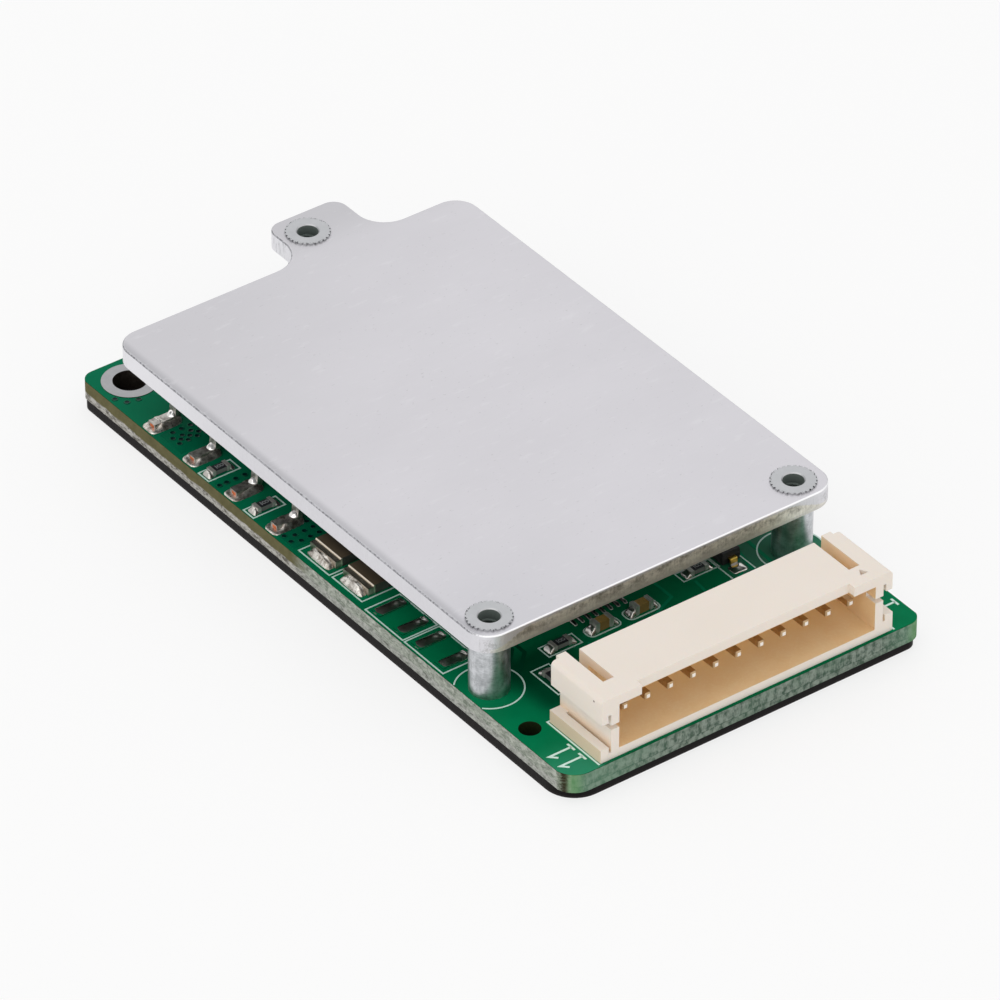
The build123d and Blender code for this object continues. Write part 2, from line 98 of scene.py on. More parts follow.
class Sock:
    """One output of a shader node. Reckoning with it adds Math nodes."""

    def __init__(self, graph, socket):
        self.graph = graph
        self.socket = socket

    def maths(self, operation, first, second):
        return self.graph.node("Math", {"operation": operation}, {0: first, 1: second})

    __add__, __radd__ = operator("ADD")
    __sub__, __rsub__ = operator("SUBTRACT")
    __mul__, __rmul__ = operator("MULTIPLY")
    __truediv__, __rtruediv__ = operator("DIVIDE")
    __pow__, __rpow__ = operator("POWER")

    def __abs__(self):
        return self.maths("ABSOLUTE", self, 0.0)

    def either(self, other):
        return self.maths("MAXIMUM", self, other)

    def over(self, edge, soft=0.02):
        """0 below the edge, 1 above it, with a soft step."""
        return self.graph.node(
            "MapRange",
            {"interpolation_type": "SMOOTHSTEP"},
            {"Value": self, "From Min": edge - soft, "From Max": edge + soft},
        )

    def under(self, edge, soft=0.02):
        return 1 - self.over(edge, soft)

    def between(self, low, high, soft=0.02):
        return self.over(low, soft) * self.under(high, soft)


class Graph:
    """The nodes of one material, or of the world."""

    def __init__(self, owner):
        owner.use_nodes = True
        self.tree = owner.node_tree
        self.tree.nodes.clear()

    def feed(self, socket, value):
        """Links a socket, or sets its value."""
        if isinstance(value, Sock):
            self.tree.links.new(value.socket, socket)
        else:
            socket.default_value = value

    def node(self, kind, settings, inputs, output=0):
        """Makes a node: its settings first, then its sockets. Gives one of its outputs."""
        made = self.tree.nodes.new("ShaderNode" + kind)
        for name, value in settings.items():
            setattr(made, name, value)
        for name, value in inputs.items():
            self.feed(made.inputs[name], value)
        return Sock(self, made.outputs[output]) if made.outputs else made

    def parts_of(self, vector):
        return [self.node("SeparateXYZ", {}, {0: vector}, axis) for axis in "XYZ"]

    def shown(self):
        """1 for what the camera sees, straight or by reflection, and 0 for what lights."""
        direct, mirrored, through = (
            self.node("LightPath", {}, {}, f"Is {kind} Ray")
            for kind in ("Camera", "Glossy", "Transmission")
        )
        return direct.either(mirrored).either(through)


class Finish(Graph):
    """One material, with the nodes that give it its look."""

    def __init__(self, name, **fixed):
        self.material = bpy.data.materials.new(name)
        super().__init__(self.material)
        self.surface = self.node("BsdfPrincipled", {}, {})
        self.output = self.node("OutputMaterial", {}, {"Surface": self.surface})
        self.set(**fixed)
        place = self.node("TexCoord", {}, {}, "Object")
        self.place = self.node("VectorMath", {"operation": "SCALE"}, {0: place, "Scale": 1 / mm})
        self.x, self.y, self.z = self.parts_of(self.place)
        self.facing_x, self.facing_y, self.facing_z = self.parts_of(
            self.node("NewGeometry", {}, {}, "True Normal")
        )

    def set(self, **sockets):
        """Feeds the surface's own sockets, with _ for a space in a name."""
        for name, value in sockets.items():
            self.feed(self.surface.socket.node.inputs[name.replace("_", " ")], value)

    def tint(self, share, low, high):
        """A colour: low where share is 0 and high where it is 1."""
        return self.node("Mix", {"data_type": "RGBA"}, {"Factor": share, 6: low, 7: high}, 2)

    def relief(self, height, depth):
        """Fine relief, where height 1 stands depth millimetres proud of height 0."""
        self.set(Normal=self.node("Bump", {}, {"Height": height, "Distance": depth * mm}))

    def sine(self, angle):
        return self.node("Math", {"operation": "SINE"}, {0: angle})

    def noise(self, place, scale, detail, rough, twist=0.0):
        sockets = {"Vector": place, "Scale": scale, "Detail": detail, "Roughness": rough}
        return self.node("TexNoise", {}, {**sockets, "Distortion": twist})

    def cloud(self, size, detail=3.0, rough=0.55, stretch=(1.0, 1.0, 1.0), twist=0.0):
        """Soft uneven noise from 0 to 1, with patches about size millimetres across."""
        place = self.node("VectorMath", {"operation": "MULTIPLY"}, {0: self.place, 1: stretch})
        return self.noise(place, 1 / size, detail, rough, twist)

    def flecks(self, size, share, stretch=(1.0, 1.0, 1.0), soft=0.03):
        """Small scattered flecks, covering about share of the surface."""
        spots = self.cloud(size, 1.0, 0.5, stretch)
        return spots.over(0.5 + 0.27 * (1 - share) ** 2, soft)

    def along_side(self):
        """How far along an upright side a point lies."""
        return self.x * abs(self.facing_y) + self.y * abs(self.facing_x)

    def box_mask(self, low, high, soft):
        """1 inside a box."""
        mask = self.x.between(low[0], high[0], soft)
        mask = mask * self.y.between(low[1], high[1], soft)
        return mask * self.z.between(low[2], high[2], soft)

    def spread_from(self, x, y):
        """The squared distance from an upright line."""
        across, along = self.x - x, self.y - y
        return across * across + along * along


def dress(node, finish):
    """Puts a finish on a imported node."""
    materials = nodes[node].data.materials
    materials.clear()
    materials.append(finish.material)


# Finishes


def green_lacquer(f, wave):
    """Lacquer on bare laminate, with painted shade behind and under the socket, a painted sheen
    at the front left corner and a painted reflection of the plate by the right standoff.
    """
    green = f.tint(wave, shade(2, 108, 68), shade(6, 130, 84))
    rearward = (f.y + f.cloud(9.0, 1.0) * 14 - 7).over(4.0, 16.0)
    green = f.tint(rearward * 0.6, green, shade(10, 108, 80))
    # painted sheen: the front left corner of the lacquer is painted lighter, as a highlight
    painted_sheen_at_front_left = f.y.under(-27.4, 1.8) * f.x.under(-11.5, 2.2)
    green = f.tint(painted_sheen_at_front_left * 0.5, green, shade(66, 154, 122))
    # painted reflection: by the right standoff the lacquer is painted a bluish grey, the plate
    # reflected in it
    painted_plate_reflection_by_right_standoff = f.x.over(8.2, 1.2) * f.y.between(-20.5, -12.5, 1.5)
    green = f.tint(painted_plate_reflection_by_right_standoff * 0.35, green, shade(96, 134, 126))
    # painted shade: between the socket and the plate the lacquer is painted darker
    painted_shade_behind_socket = f.x.between(-12.2, -6.5, 1.0) * f.y.between(-23.0, -16.4, 1.0)
    green = f.tint(painted_shade_behind_socket * 0.8, green, shade(0, 58, 36))
    # painted shade: a darker strip under the front lip of the socket
    painted_shade_under_socket_lip = f.y.under(-29.50, 0.2) * abs(f.x).under(12.8, 0.4)
    return f.tint(painted_shade_under_socket_lip * 0.6, green, shade(0, 74, 40))


def sawn_ends(f):
    """Sawn laminate: two plies of woven glass, cut across their yarns."""
    wander = f.cloud(0.9, 2.0)
    height = f.z + wander * 0.24
    ply_join = 1.50
    lower = height.under(ply_join, 0.03)
    seam = abs(height - ply_join).under(0.03, 0.05)
    pitch = 0.74
    turns = (f.along_side() + wander * 0.7 + lower * pitch / 2) / pitch
    yarns = (f.sine(turns * (2 * math.pi)) * 0.5 + 0.5).over(0.30, 0.34)
    fibres = f.cloud(0.17, 3.0, 0.7, (1.5, 1.5, 0.6))
    blotch = f.cloud(0.55, 2.0, 0.5, (0.8, 0.8, 1.3))
    woven = yarns * 0.09 + blotch * 0.5 + fibres * 0.5 - seam * 0.12
    sawn = f.tint((woven - 0.04).over(0.5, 0.15), shade(74, 92, 80), shade(142, 154, 143))
    broad = f.cloud(2.6, 2.0, 0.5)
    sawn = f.tint(broad.over(0.52, 0.12) * 0.3, sawn, shade(84, 116, 94))
    near_corners = f.x.under(-9.5, 4.0).either(f.x.over(13.2, 1.5))
    return f.tint(near_corners * 0.4, sawn, shade(112, 156, 128))


def scored_sides(f, pits):
    """Scored and snapped laminate: a cut groove above and torn fibres below."""
    ragged = f.cloud(1.6, 4.0, 0.65, (1.0, 1.0, 0.3)) * 0.5
    score = (f.z + ragged).over(1.78, 0.07)
    rear = (f.y + f.cloud(3.0) * 4).over(4.0, 1.4)
    olive = f.tint(f.cloud(0.7, 3.0), shade(88, 86, 60), shade(122, 116, 84))
    groove = f.tint(pits.over(0.5, 0.2), shade(106, 116, 104), shade(196, 200, 190))
    fibre = f.tint(pits.over(0.47, 0.13), shade(84, 80, 72), shade(198, 196, 190))
    torn = f.tint(pits.over(0.45, 0.16), shade(98, 102, 94), shade(188, 190, 184))
    return f.tint(score, f.tint(rear, torn, fibre), f.tint(rear, groove, olive))


def laminate_finish():
    """Green lacquered glass laminate, with its sawn ends, scored sides and two holes, which are
    painted dark within as painted shade.
    """
    f = Finish("laminate", Specular_IOR_Level=0.015)
    faces = f.facing_z.over(0.5, 0.2).either(f.facing_z.under(-0.5, 0.2))
    wave = f.cloud(2.2, 3.0, 0.6)
    strands = f.cloud(0.16, 3.0, 0.7, (0.5, 0.5, 2.4))
    pits = f.cloud(0.34, 5.0, 0.8, (0.8, 0.5, 1.1), 0.6)

    long_side = abs(f.facing_x).over(0.72, 0.12)
    side = f.tint(long_side, sawn_ends(f), scored_sides(f, pits))
    lacquer_lip = (f.z + f.cloud(0.12, 2.0, 0.5) * 0.06).over(board_top - 0.015, 0.015)
    side = f.tint(lacquer_lip, side, shade(0, 66, 36))
    front = f.y.under(-28.9, 0.5)
    corner = (front * f.x.under(-14.6, 0.5)).either(front * f.x.over(14.6, 0.5))
    side = f.tint(corner * 0.55, side, shade(104, 156, 96))
    mark = (f.x + strands * 0.3).between(-15.50, -15.20, 0.12) * f.y.under(-28.6, 0.05)
    side = f.tint(mark * (0.4 + strands), side, shade(46, 32, 20))

    plated = f.spread_from(*fixing_hole)
    # painted shade: the plated barrel of the fixing hole and the wall of the wire hole are
    # painted dark, for the shade deep in the holes
    barrel = plated.under(1.75, 0.02)
    side = f.tint(barrel, side, shade(92, 84, 78))
    side = f.tint(f.spread_from(*wire_hole).under(0.8, 0.05), side, shade(34, 44, 24))
    ring = plated.under(4.6, 0.04) * faces
    tin = f.tint(f.cloud(0.5, 3.0), shade(150, 150, 152), shade(170, 170, 172))
    metal = ring.either(barrel * (1 - faces))
    f.set(
        Base_Color=f.tint(ring, f.tint(faces, side, green_lacquer(f, wave)), tin),
        Roughness=blend(metal, blend(faces, 0.75, 0.24), 0.42),
        Metallic=metal * 0.9,
    )
    f.relief(faces * wave * 0.5 + (1 - faces) * (strands * 0.8 + pits * 0.8), 0.03)
    return f


def copper_lacquer_finish():
    """The same green lacquer where it lies over copper: wide areas, and tracks at the front,
    painted darker as painted shade behind the left of the socket.
    """
    f = Finish("lacquer_over_copper", Roughness=0.24, Specular_IOR_Level=0.015)
    wave = f.cloud(1.6, 3.0, 0.6)
    area = f.tint(wave, shade(0, 94, 64), shade(5, 114, 80))
    # painted shade: tracks left of x -7 lie in the shade behind the socket and are painted darker
    tracks = f.tint(f.x.under(-7.0, 1.0), shade(10, 140, 98), shade(0, 74, 48))
    f.set(Base_Color=f.tint(f.y.under(-10.5, 0.4), area, tracks))
    f.relief(wave, 0.02)
    return f


def via_finish():
    """Lacquer on a via, its dimple painted dark as painted shade for the hole under it."""
    f = Finish("lacquered_via", Roughness=0.28, Specular_IOR_Level=0.1)
    # painted shade: the dimple is painted dark where the hole lies under the lacquer
    dimple = f.z.under(board_top + 0.034, 0.005)
    f.set(Base_Color=f.tint(dimple, shade(4, 108, 76), shade(0, 38, 34)))
    f.relief(f.cloud(0.1), 0.01)
    return f


def backing_finish():
    """Black insulating sheet, cut with a knife, with a painted highlight along the lower edge of
    its sides.
    """
    f = Finish("black_sheet", Specular_IOR_Level=0.06)
    sides = abs(f.facing_z).under(0.5, 0.2)
    # painted highlight: the lower edge of the sides is painted lighter, as a sheen line along the
    # foot of the sheet
    low = f.z.under(0.16, 0.08) * sides
    grain = f.cloud(0.35, 4.0, 0.65)
    cut = f.cloud(0.5, 3.0, 0.6, (1.0, 1.0, 0.2))
    colour = f.tint(grain, shade(16, 14, 15), shade(32, 29, 29))
    colour = f.tint(low * (0.2 + cut * 0.5), colour, shade(58, 54, 54))
    f.set(Base_Color=colour, Roughness=0.38 + grain * 0.2)
    f.relief(grain + cut, 0.02)
    return f


def rolled_face(f, rolled, cloudy):
    """The plate's flat faces: rolling grain, fine nicks and rubbed patches, with painted shade
    towards the rear and at the front left, and a painted dark reflection along the left edge.
    """
    skin = f.tint(
        cloudy.over(0.5, 0.25) * 0.4 + rolled * 0.3, shade(200, 198, 202), shade(208, 206, 210)
    )
    nick = f.flecks(0.16, 0.05, (0.5, 1.0, 1.0), 0.015)
    skin = f.tint(nick * 0.25, skin, shade(150, 148, 150))
    # painted shade: the faces are painted darker towards the rear, on the tab and towards the
    # rear right
    painted_shade_towards_rear = (f.y - 26.0).over(0.0, 3.0).either((f.y - f.x * 0.9).over(20.0, 16.0) * 0.55)
    skin = f.tint(painted_shade_towards_rear * 0.75, skin, shade(184, 183, 186))
    # painted shade: the faces are painted a little darker at the front left
    near = f.y.under(-13.0, 6.0) * f.x.under(-8.0, 6.0)
    skin = f.tint(near * 0.3, skin, shade(182, 182, 187))
    # painted reflection: a darker line along the left edge, as if it reflected something dark
    painted_dark_reflection_at_left_edge = f.x.under(-15.42, 0.36)
    skin = f.tint(painted_dark_reflection_at_left_edge * 0.45, skin, shade(148, 148, 152))
    rub = f.cloud(0.8, 4.0, 0.7, (0.35, 1.2, 1.0)).over(0.63, 0.05)
    return f.tint(rub * 0.25, skin, shade(214, 213, 216))


def sheared_sides(f, streak):
    """The plate's sides: a sheared band above, and a torn one below on the front side. The
    sheared band is painted lighter than the faces, partly burnished metal and partly painted
    light, and its rounded top edge is painted with light and shade.
    """
    mottle = f.cloud(0.26, 5.0, 0.75)
    # painted light: the sheared band is burnished metal, painted lighter than the flat faces as
    # light falling on the sides
    sheared = f.tint(streak * 0.4 + mottle * 0.6, shade(206, 205, 209), shade(230, 229, 233))
    # painted light: the sides are painted lighter towards the rear
    sheared = f.tint(f.y.over(14.0, 9.0) * 0.5, sheared, shade(242, 241, 245))
    drag = streak.over(0.60, 0.06) * f.y.over(23.5, 0.5) * f.facing_x.under(-0.4, 0.3)
    sheared = f.tint(drag * 0.45, sheared, shade(120, 120, 124))
    round_corner = f.facing_y.between(-0.97, -0.60, 0.08) * f.z.under(8.30, 0.10)
    wear_and_painted_highlight = round_corner * mottle.over(0.52, 0.07)
    sheared = f.tint(wear_and_painted_highlight * 0.5, sheared, shade(150, 149, 148))

    front = f.facing_y.under(-0.86, 0.10)
    wedge = (abs(f.x + 0.2) - 11.4).over(1.7, 1.8)
    torn = (f.z + wedge * 0.95 + (streak - 0.5) * 0.35).under(8.42, 0.08) * f.z.over(7.40, 0.05)
    lumps = f.cloud(0.8, 3.0, 0.55, (0.8, 1.0, 1.2))
    break_face = f.tint(
        (streak * 0.2 + mottle * 0.35 + lumps * 0.45).over(0.49, 0.13),
        shade(144, 140, 131),
        shade(246, 242, 232),
    )
    break_face = f.tint(f.z.under(7.80, 0.30) * 0.6, break_face, shade(232, 228, 219))
    side = f.tint(front * torn, sheared, break_face)
    burr = f.z.under(7.40, 0.05) * (0.3 + streak) * front
    side = f.tint(burr, side, shade(214, 210, 200))

    # painted reflection and highlight: the rounded top edge is painted darker, a dark reflection,
    # and near white where it faces the front, a painted highlight
    rim = f.facing_z.between(0.12, 0.90, 0.06)
    painted_edge_light_and_dark = f.tint(mottle.over(0.5, 0.1), shade(132, 132, 136), shade(190, 190, 194))
    painted_edge_light_and_dark = f.tint(f.facing_y.under(-0.4, 0.3), painted_edge_light_and_dark, shade(244, 244, 246))
    return f.tint(rim, side, painted_edge_light_and_dark)


def plate_finish():
    """Rolled aluminium sheet with sheared sides."""
    f = Finish("rolled_sheet", Metallic=1.0)
    flat = f.facing_z.over(0.93, 0.06).either(f.facing_z.under(-0.9, 0.05))
    rolled = f.cloud(0.25, 3.0, 0.6, (0.10, 1.0, 1.0))
    cloudy = f.cloud(7.0, 3.0, 0.55, (0.6, 1.0, 1.0))
    drawn_down = f.node("CombineXYZ", {}, {"X": f.along_side() * 4.0, "Y": f.z * 0.35})
    streak = f.noise(drawn_down, 1.2, 4.0, 0.7)
    f.set(
        Base_Color=f.tint(flat, sheared_sides(f, streak), rolled_face(f, rolled, cloudy)),
        Roughness=blend(flat, 0.45, 0.42),
    )
    f.relief(flat * (rolled * 0.4 + cloudy * 0.6) + (1 - flat) * streak * 2, 0.012)
    return f


def standoff_finish(node):
    """Turned and plated steel: fine rings round the post, a knurled head with painted shade in
    its grooves, and a bore painted dark as painted shade.
    """
    low, high = box_mm(node)
    f = Finish("turned_" + node)
    radius = f.spread_from((low.x + high.x) / 2, (low.y + high.y) / 2) ** 0.5
    rings = f.cloud(0.10, 3.0, 0.6, (0.25, 0.25, 1.4))
    smear = f.cloud(0.9, 4.0, 0.65)
    drawn = f.cloud(0.22, 3.0, 0.7, (1.0, 1.0, 0.12))
    colour = f.tint(
        (rings * 0.25 + smear * 0.6 + drawn * 0.15).over(0.5, 0.14),
        shade(160, 163, 166),
        shade(214, 216, 219),
    )
    scratch = f.flecks(0.16, 0.10, (0.35, 0.35, 2.5), 0.03)
    colour = f.tint(scratch * 0.5, colour, shade(120, 122, 124))
    head = f.z.over(8.705, 0.01)
    colour = f.tint(head, colour, f.tint(smear, shade(170, 171, 173), shade(186, 187, 189)))
    # painted shade: dark ticks round the rim of the head stand for the shade in the knurling
    # grooves
    painted_shade_in_knurl = head * radius.over(1.58, 0.03) * f.flecks(0.13, 0.35, (1.0, 1.0, 0.3), 0.02)
    colour = f.tint(painted_shade_in_knurl * 0.7, colour, shade(64, 64, 66))
    # painted shade: the bore is painted dark, greyer and less metallic, for the shade deep in it
    bore = radius.under(0.84, 0.01) * abs(f.facing_z).under(0.5, 0.1)
    f.set(
        Base_Color=f.tint(bore, colour, shade(112, 122, 118)),
        Metallic=1 - bore * 0.7,
        Roughness=0.27 + rings * 0.14 + bore * 0.3,
    )
    f.relief(rings * 0.5 + smear * 0.5, 0.012)
    return f


def housing_finish():
    """Moulded ivory nylon, with painted shade, darker and warmer, within the socket, on the slot
    walls and at the foot of its left-facing sides.
    """
    f = Finish(
        "moulded_ivory",
        Subsurface_Weight=0.12,
        Subsurface_Scale=0.0006,
        Subsurface_Radius=(1.0, 0.6, 0.35),
    )
    grain = f.cloud(0.25, 3.0, 0.6)
    flow_tone_and_painted_light = f.cloud(5.0, 2.0, 0.5)
    colour = f.tint(flow_tone_and_painted_light, shade(236, 226, 214), shade(240, 230, 220))
    # painted shade: within the socket the nylon is painted a darker, warmer tan, for the shade
    # and the warm light bounced round in it
    painted_shade_in_socket = f.box_mask((-11.22, -29.78, 3.17), (11.52, -24.9, 7.03), 0.02)
    # painted light: further back the tan is painted lighter, against the shade of the top wall
    deep = f.y.over(-26.6, 1.8)
    tan = f.tint(deep, shade(236, 202, 152), shade(252, 222, 172))
    tan = f.tint(f.cloud(1.6, 3.0).over(0.5, 0.2) * 0.3, tan, shade(246, 222, 182))
    tan = f.tint(grain.over(0.56, 0.1) * 0.2, tan, shade(248, 226, 190))
    colour = f.tint(painted_shade_in_socket, colour, tan)
    # painted shade: the slot walls are painted tan, more strongly at the right
    painted_shade_on_slot_walls = f.x.between(-11.8, -9.9, 0.04).either(f.x.between(10.2, 12.1, 0.04))
    painted_shade_on_slot_walls = painted_shade_on_slot_walls * f.y.over(-28.2, 0.05) * f.z.between(5.5, 7.74, 0.1)
    painted_shade_on_slot_walls = painted_shade_on_slot_walls * abs(f.facing_z).under(0.5, 0.1)
    slot_shade_strength = 0.35 + 0.45 * f.x.over(0.0)
    colour = f.tint(painted_shade_on_slot_walls * slot_shade_strength, colour, shade(248, 216, 172))
    # painted shade: the foot of the left-facing sides is painted darker and warmer, next to the
    # board
    painted_shade_at_side_foot = f.z.under(4.05, 0.5) * f.facing_x.under(-0.5, 0.1)
    colour = f.tint(painted_shade_at_side_foot * 0.6, colour, shade(232, 200, 158))
    rise = f.z - 7.35
    speck = (f.spread_from(-12.7, -28.84) + rise * rise).under(0.006, 0.004)
    f.set(
        Base_Color=f.tint(speck, colour, shade(96, 64, 36)),
        Roughness=0.48 + grain * 0.12,
    )
    f.relief(grain, 0.012)
    return f


def pin_finish(node):
    """Tin-plated brass wire, painted brown as painted shade where it lies in the socket, and tin
    grey low down. Its cut tip is bare bright metal with a painted highlight.
    """
    low, high = box_mm(node)
    f = Finish("plated_" + node, Metallic=1.0)
    half_wire = 0.25
    across, up = abs(f.x - (low.x + high.x) / 2), abs(f.z - (high.z - half_wire))
    tip = f.y.under(low.y + 0.02, 0.01) * across.under(0.15, 0.02) * up.under(0.15, 0.02)
    smear = f.cloud(0.3, 3.0)
    # painted shade: the wire is painted brown above z 3.4, where it lies in the socket's shade,
    # and tin grey below
    body = f.tint(smear, shade(158, 130, 94), shade(200, 174, 138))
    body = f.tint(f.z.under(3.4, 0.3), body, shade(196, 194, 190))
    f.set(
        # the cut tip: bare metal, painted near white as a painted highlight
        Base_Color=f.tint(tip, body, shade(238, 232, 224)),
        Roughness=0.32 + smear * 0.15,
    )
    f.relief(smear, 0.006)
    return f


def bore_finish():
    """A freshly cut thread, painted darker as painted shade for the dark of its bore."""
    f = Finish("cut_thread", Metallic=0.3)
    smear = f.cloud(0.3, 3.0)
    f.set(
        Base_Color=f.tint(smear, shade(104, 116, 112), shade(122, 132, 128)),
        Roughness=0.55 + smear * 0.2,
    )
    f.relief(smear, 0.01)
    return f


def lead_finish(name, cut_end=""):
    """Tin-plated copper strip. The node cut_end shows a patch of bare copper at its tip."""
    f = Finish(name, Metallic=1.0)
    smear = f.cloud(0.45, 4.0, 0.65)
    colour = f.tint(smear.over(0.5, 0.2), shade(140, 134, 128), shade(216, 212, 206))
    if cut_end:
        low, high = box_mm(cut_end)
        ragged = f.cloud(0.25, 3.0) * 0.12
        tip = f.x.under(low.x + 0.08, 0.03) * abs(f.facing_x).over(0.6, 0.15)
        tip = tip * (abs(f.y - (low.y + high.y) / 2 + 0.05) + ragged).under(0.30, 0.03)
        tip = tip * (f.z + ragged).under(2.97, 0.02)
        copper = f.tint(f.cloud(0.2), shade(216, 100, 50), shade(248, 152, 104))
        colour = f.tint(tip, colour, copper)
    f.set(Base_Color=colour, Roughness=0.30 + smear * 0.24)
    f.relief(smear + f.cloud(0.12) * 0.5, 0.01)
    return f


def diode_lead_finish():
    """Thin plated strip, brass-yellow where it leaves the body."""
    f = Finish("diode_lead", Metallic=1.0)
    smear = f.cloud(0.3, 3.0, 0.6)
    tin = f.tint(smear, shade(168, 164, 158), shade(206, 204, 200))
    brass = f.tint(smear, shade(176, 140, 52), shade(222, 190, 96))
    f.set(
        Base_Color=f.tint(f.z.over(2.74, 0.05), tin, brass),
        Roughness=0.26 + smear * 0.15,
    )
    f.relief(smear, 0.006)
    return f


def solder_finish():
    """Set solder: smooth and bright, with a faint frosted skin here and there, and painted shade
    on the controller's legs under the plate.
    """
    f = Finish("solder", Metallic=1.0)
    smear = f.cloud(0.6, 3.0, 0.55)
    frost = f.flecks(0.14, 0.15, soft=0.08)
    colour = f.tint(smear, shade(178, 174, 168), shade(216, 213, 208))
    # painted shade: the solder on the controller's legs, under the plate, is painted darker
    controller = f.x.between(-5.2, 0.5, 0.1) * f.y.between(-16.4, -9.0, 0.1)
    colour = f.tint(controller * 0.7, colour, shade(96, 96, 92))
    f.set(
        Base_Color=f.tint(frost * 0.3, colour, shade(140, 134, 126)),
        Roughness=0.13 + smear * 0.12 + frost * 0.12,
    )
    f.relief(smear + f.cloud(0.2, 2.0) * 0.4, 0.010)
    return f


def dull_solder_finish():
    """Solder that set against wide copper: grainy grey, with bright ridges."""
    f = Finish("dull_solder", Metallic=1.0)
    grit = f.cloud(0.20, 4.0, 0.65)
    smear = f.cloud(0.6, 3.0, 0.55)
    ridges = (grit * 0.4 + smear * 0.6).over(0.5, 0.13)
    colour = f.tint(ridges, shade(148, 140, 131), shade(242, 238, 231))
    pit = f.flecks(0.16, 0.15, soft=0.05)
    f.set(
        Base_Color=f.tint(pit * 0.5, colour, shade(92, 84, 76)),
        Roughness=0.20 + grit * 0.25,
    )
    f.relief(grit * 0.4 + smear, 0.04)
    return f


def painted_highlight_bead_finish():
    """A bead of solder, a brighter copy of the solder as a painted highlight: mirror-bright."""
    f = Finish("solder_bead", Metallic=1.0)
    smear = f.cloud(0.5, 2.0)
    f.set(
        # painted highlight: near white, brighter than the other solder
        Base_Color=f.tint(smear, shade(232, 230, 226), shade(250, 248, 245)),
        Roughness=0.08 + smear * 0.08,
    )
    f.relief(smear, 0.01)
    return f


def epoxy_finish(name, dark, light):
    """Moulded black epoxy: a fine spark-eroded grain on every face."""
    f = Finish(name)
    grain = f.cloud(0.09, 2.0, 0.7)
    haze = f.cloud(3.0, 2.0)
    colour = f.tint(grain.over(0.5, 0.2), shade(*dark), shade(*light))
    f.set(Base_Color=f.tint(haze * 0.3, colour, shade(58, 58, 60)), Roughness=0.46 + grain * 0.2)
    f.relief(grain, 0.02)
    return f


def pad_finish():
    """Grey filled silicone."""
    f = Finish("silicone_pad", Roughness=0.7)
    grain = f.cloud(0.2, 3.0, 0.7)
    colour = f.tint(grain, shade(132, 136, 142), shade(160, 163, 168))
    f.set(Base_Color=f.tint(f.flecks(0.2, 0.2), colour, shade(190, 192, 196)))
    f.relief(grain, 0.03)
    return f


def chip_finish(name, node, axis, cap, coat, ceramic, coat_roughness):
    """A chip part: tinned caps at both ends along axis, a coat on top, ceramic sides."""
    low, high = box_mm(node)
    f = Finish(name)
    middle = (low[axis] + high[axis]) / 2
    reach = (high[axis] - low[axis]) / 2 - cap
    ragged = f.cloud(0.3) * 0.08 - 0.04
    ends = (abs((f.x, f.y)[axis] - middle) + ragged).over(reach, 0.02)
    top = f.facing_z.over(0.6, 0.2)
    skin = f.tint(f.cloud(0.3), shade(*coat[0]), shade(*coat[1]))
    core = f.tint(f.cloud(0.25), shade(*ceramic[0]), shade(*ceramic[1]))
    tin = f.tint(f.cloud(0.3, 4.0), shade(172, 170, 165), shade(226, 224, 219))
    f.set(
        Base_Color=f.tint(ends, f.tint(top, core, skin), tin),
        Metallic=ends * 0.65,
        Roughness=blend(ends, coat_roughness, 0.3),
    )
    f.relief(f.cloud(0.15) + ends, 0.01)
    return f


def shunt_finish(name, node):
    """A flat shunt: a brown-grey glossy strip, with painted highlights on the edges of its tinned
    ends and painted light on the coat towards its ends.
    """
    low, high = box_mm(node)
    f = Finish(name)
    reach = abs(f.x - (low.x + high.x) / 2)
    cap = (high.x - low.x) / 2 - 0.45
    # painted highlight: a near white band on the sloped edge of each tinned end
    wear_and_painted_highlight = reach.between(cap - 0.16, cap, 0.03) * f.facing_z.under(0.985, 0.01)
    bright = reach.over(cap - 0.02, 0.015).either(wear_and_painted_highlight)
    haze = f.cloud(1.1, 3.0, 0.55, (1.0, 0.35, 1.0))
    # painted light: the coat is painted lighter towards each end and darker in the middle, which
    # lies in the plate's shade
    flow_tone_and_painted_light = reach.over(cap - 0.7, 0.9)
    coat = f.tint(haze * 0.5 + flow_tone_and_painted_light * 0.5, shade(60, 54, 48), shade(146, 128, 104))
    edge = f.tint(f.cloud(0.4, 3.0), shade(62, 64, 60), shade(104, 104, 98))
    coat = f.tint(abs(f.facing_y).over(0.6, 0.2), coat, edge)
    tin = f.tint(f.cloud(0.35, 4.0, 0.7), shade(150, 140, 128), shade(232, 224, 212))
    f.set(
        Base_Color=f.tint(bright, coat, f.tint(wear_and_painted_highlight, tin, shade(250, 238, 220))),
        Metallic=0.5 + bright * 0.5,
        Roughness=0.30 + haze * 0.12,
    )
    f.relief(haze * 0.5 + f.cloud(0.16) * 0.3, 0.008)
    return f


def ink_finish():
    """White print on the board, a little rubbed."""
    f = Finish("marking_ink", Roughness=0.55)
    wear_and_painted_highlight = f.cloud(0.35, 4.0, 0.7)
    f.set(Base_Color=f.tint(wear_and_painted_highlight, shade(200, 236, 224), shade(230, 249, 242)))
    f.relief(wear_and_painted_highlight, 0.01)
    return f


def number_ink_finish():
    """Grey print on the chip resistors."""
    f = Finish("chip_ink", Roughness=0.5)
    f.set(Base_Color=f.tint(f.cloud(0.2), shade(140, 144, 146), shade(176, 180, 182)))
    f.relief(f.cloud(0.1), 0.005)
    return f


